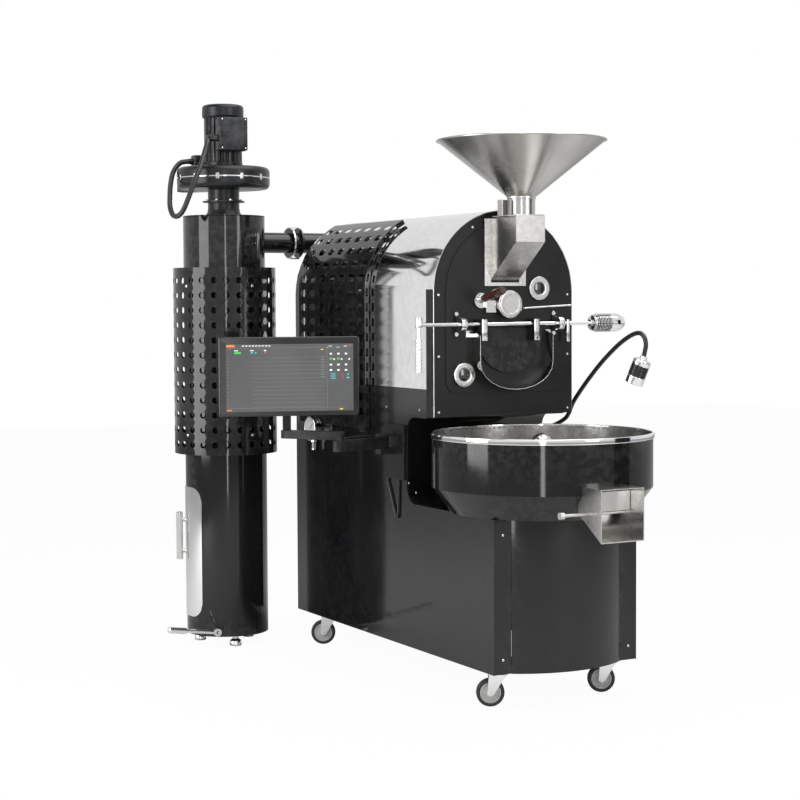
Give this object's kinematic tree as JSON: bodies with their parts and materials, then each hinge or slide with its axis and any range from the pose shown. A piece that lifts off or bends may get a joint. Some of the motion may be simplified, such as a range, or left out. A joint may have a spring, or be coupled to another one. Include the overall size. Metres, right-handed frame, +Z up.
{
  "type": "drum coffee roaster",
  "caption": "Floor-standing drum coffee roaster with feed hopper, cooling bin, exhaust column with blower, work lamp, and control screen on a folding arm.",
  "frame": {"origin": "middle of the footprint of the whole machine, on the floor", "axes": "+Z up, the face with the discharge door and cooling bin looks along -Y, its right side is +X"},
  "size_m": [1.4928, 2.3424, 2.2323],
  "materials": {
    "black_gloss_paint": "gloss black powder coat",
    "black_satin_paint": "satin black paint",
    "mirror_chrome": "mirror-polished chrome",
    "brushed_stainless": "polished and brushed stainless steel",
    "heat_darkened_steel": "heat-darkened steel",
    "cast_iron": "cast iron",
    "motor_grey_paint": "grey motor enamel",
    "dark_grey_paint": "dark grey enamel",
    "frame_paint": "black frame paint",
    "dark_turned_wood": "dark oiled turned wood",
    "black_rubber": "black rubber"
  },
  "bodies": {
    "machine": {"agitator_motor": "motor_grey_paint", "arch_cover": "mirror_chrome", "base_frame": "frame_paint", "bearing_cap": "brushed_stainless", "bin_floor": "brushed_stainless", "bin_rim": "mirror_chrome", "bin_shell": "black_gloss_paint", "blower_housing": "dark_grey_paint", "blower_motor": "dark_grey_paint", "cabinet_deck": "black_gloss_paint", "column_guard": "black_satin_paint", "column_shell": "black_gloss_paint", "discharge_chute": "brushed_stainless", "door_bracket_left": "black_satin_paint", "door_bracket_right": "black_satin_paint", "drum_motor": "motor_grey_paint", "exhaust_duct": "black_gloss_paint", "feed_box": "brushed_stainless", "feed_frame": "brushed_stainless", "feed_hopper": "brushed_stainless", "front_panel": "black_gloss_paint", "front_plate": "black_satin_paint", "gas_burner": "cast_iron", "heat_guard": "black_satin_paint", "lamp_gooseneck": "black_satin_paint", "lamp_head": "mirror_chrome", "left_side_panel": "black_gloss_paint", "lower_sight_ring": "brushed_stainless", "motor_cable": "black_rubber", "outlet_box": "brushed_stainless", "probe_rod": "brushed_stainless", "rear_panel": "black_gloss_paint", "right_side_panel": "black_gloss_paint", "screen_cable": "black_rubber", "trier_guide": "brushed_stainless", "upper_sight_ring": "brushed_stainless", "wall_bracket": "black_satin_paint"},
    "drum": {"roasting_drum": "heat_darkened_steel"},
    "agitator_body": {"agitator": "brushed_stainless"},
    "bin_gate": {"outlet_gate": "brushed_stainless"},
    "discharge_door": {"door_plate": "black_satin_paint", "door_shaft": "mirror_chrome", "door_handle": "mirror_chrome"},
    "trier": {"trier_rod": "brushed_stainless", "trier_handle": "dark_turned_wood"},
    "hopper_gate": {"feed_gate": "brushed_stainless"},
    "arm_rear": {"rear_link": "black_satin_paint"},
    "arm_front": {"front_link": "black_satin_paint"},
    "display": {"screen": "black_satin_paint"},
    "impeller": {"blower_impeller": "brushed_stainless"},
    "cleanout_door": {"column_door": "mirror_chrome"},
    "lever": {"lift_lever": "mirror_chrome"},
    "front_left_caster_swivel": {"front_left_caster_fork": "mirror_chrome"},
    "front_left_caster_roller": {"front_left_caster_wheel": "black_rubber"},
    "front_right_caster_swivel": {"front_right_caster_fork": "mirror_chrome"},
    "front_right_caster_roller": {"front_right_caster_wheel": "black_rubber"},
    "rear_left_caster_swivel": {"rear_left_caster_fork": "mirror_chrome"},
    "rear_left_caster_roller": {"rear_left_caster_wheel": "black_rubber"},
    "rear_right_caster_swivel": {"rear_right_caster_fork": "mirror_chrome"},
    "rear_right_caster_roller": {"rear_right_caster_wheel": "black_rubber"}
  },
  "joints": [
    {"name": "drum_spin", "type": "hinge", "parent": "machine", "child": "drum", "pos_m": [0.23306, -0.42116, 1.406], "axis": [0, 1, 0], "continuous": true},
    {"name": "agitator_spin", "type": "hinge", "parent": "machine", "child": "agitator_body", "pos_m": [0.23306, -0.67316, 0.704], "axis": [0, 0, 1], "continuous": true},
    {"name": "bin_gate_swing", "type": "hinge", "parent": "machine", "child": "bin_gate", "pos_m": [0.23306, -1.09316, 0.7], "axis": [1, 0, 0], "range_deg": [0, 80]},
    {"name": "door_swing", "type": "hinge", "parent": "machine", "child": "discharge_door", "pos_m": [0.23306, -0.45916, 1.334], "axis": [-1, 0, 0], "range_deg": [0, 40]},
    {"name": "trier_pull", "type": "slide", "parent": "machine", "child": "trier", "axis": [0, -0.9781, 0.2079], "range_m": [0, 0.15]},
    {"name": "hopper_gate_slide", "type": "slide", "parent": "machine", "child": "hopper_gate", "axis": [-1, 0, 0], "range_m": [0, 0.1]},
    {"name": "arm_swing", "type": "hinge", "parent": "machine", "child": "arm_rear", "pos_m": [-0.12294, -0.13116, 0.89], "axis": [0, 0, 1], "range_deg": [-45, 60]},
    {"name": "arm_elbow", "type": "hinge", "parent": "arm_rear", "child": "arm_front", "pos_m": [-0.34194, -0.19616, 0.89], "axis": [0, 0, 1], "range_deg": [-45, 45]},
    {"name": "screen_tilt", "type": "hinge", "parent": "arm_front", "child": "display", "pos_m": [-0.46949, -0.0213, 1.146], "axis": [0.9511, -0.309, 0], "range_deg": [-15, 15]},
    {"name": "front_left_caster_turn", "type": "hinge", "parent": "machine", "child": "front_left_caster_swivel", "pos_m": [-0.00194, -0.76616, 0.125], "axis": [0, 0, 1], "continuous": true},
    {"name": "front_left_caster_roll", "type": "hinge", "parent": "front_left_caster_swivel", "child": "front_left_caster_roller", "pos_m": [-0.03196, -0.7502, 0.05], "axis": [-0.4695, -0.8829, 0], "continuous": true},
    {"name": "front_right_caster_turn", "type": "hinge", "parent": "machine", "child": "front_right_caster_swivel", "pos_m": [0.46806, -0.76616, 0.125], "axis": [0, 0, 1], "continuous": true},
    {"name": "front_right_caster_roll", "type": "hinge", "parent": "front_right_caster_swivel", "child": "front_right_caster_roller", "pos_m": [0.43804, -0.7502, 0.05], "axis": [-0.4695, -0.8829, 0], "continuous": true},
    {"name": "rear_left_caster_turn", "type": "hinge", "parent": "machine", "child": "rear_left_caster_swivel", "pos_m": [-0.00194, 0.56384, 0.125], "axis": [0, 0, 1], "continuous": true},
    {"name": "rear_left_caster_roll", "type": "hinge", "parent": "rear_left_caster_swivel", "child": "rear_left_caster_roller", "pos_m": [-0.03196, 0.5798, 0.05], "axis": [-0.4695, -0.8829, 0], "continuous": true},
    {"name": "rear_right_caster_turn", "type": "hinge", "parent": "machine", "child": "rear_right_caster_swivel", "pos_m": [0.46806, 0.56384, 0.125], "axis": [0, 0, 1], "continuous": true},
    {"name": "rear_right_caster_roll", "type": "hinge", "parent": "rear_right_caster_swivel", "child": "rear_right_caster_roller", "pos_m": [0.43804, 0.5798, 0.05], "axis": [-0.4695, -0.8829, 0], "continuous": true},
    {"name": "impeller_spin", "type": "hinge", "parent": "machine", "child": "impeller", "pos_m": [-0.34494, 0.85084, 1.884], "axis": [0, 0, 1], "continuous": true},
    {"name": "cleanout_door_swing", "type": "hinge", "parent": "machine", "child": "cleanout_door", "pos_m": [-0.43274, 1.00291, 0.12], "axis": [0, 0, -1], "range_deg": [0, 110]},
    {"name": "lift_lever_swing", "type": "hinge", "parent": "machine", "child": "lever", "pos_m": [-0.46694, 0.67384, 0.072], "axis": [0, 1, 0], "range_deg": [0, 30]}
  ]
}
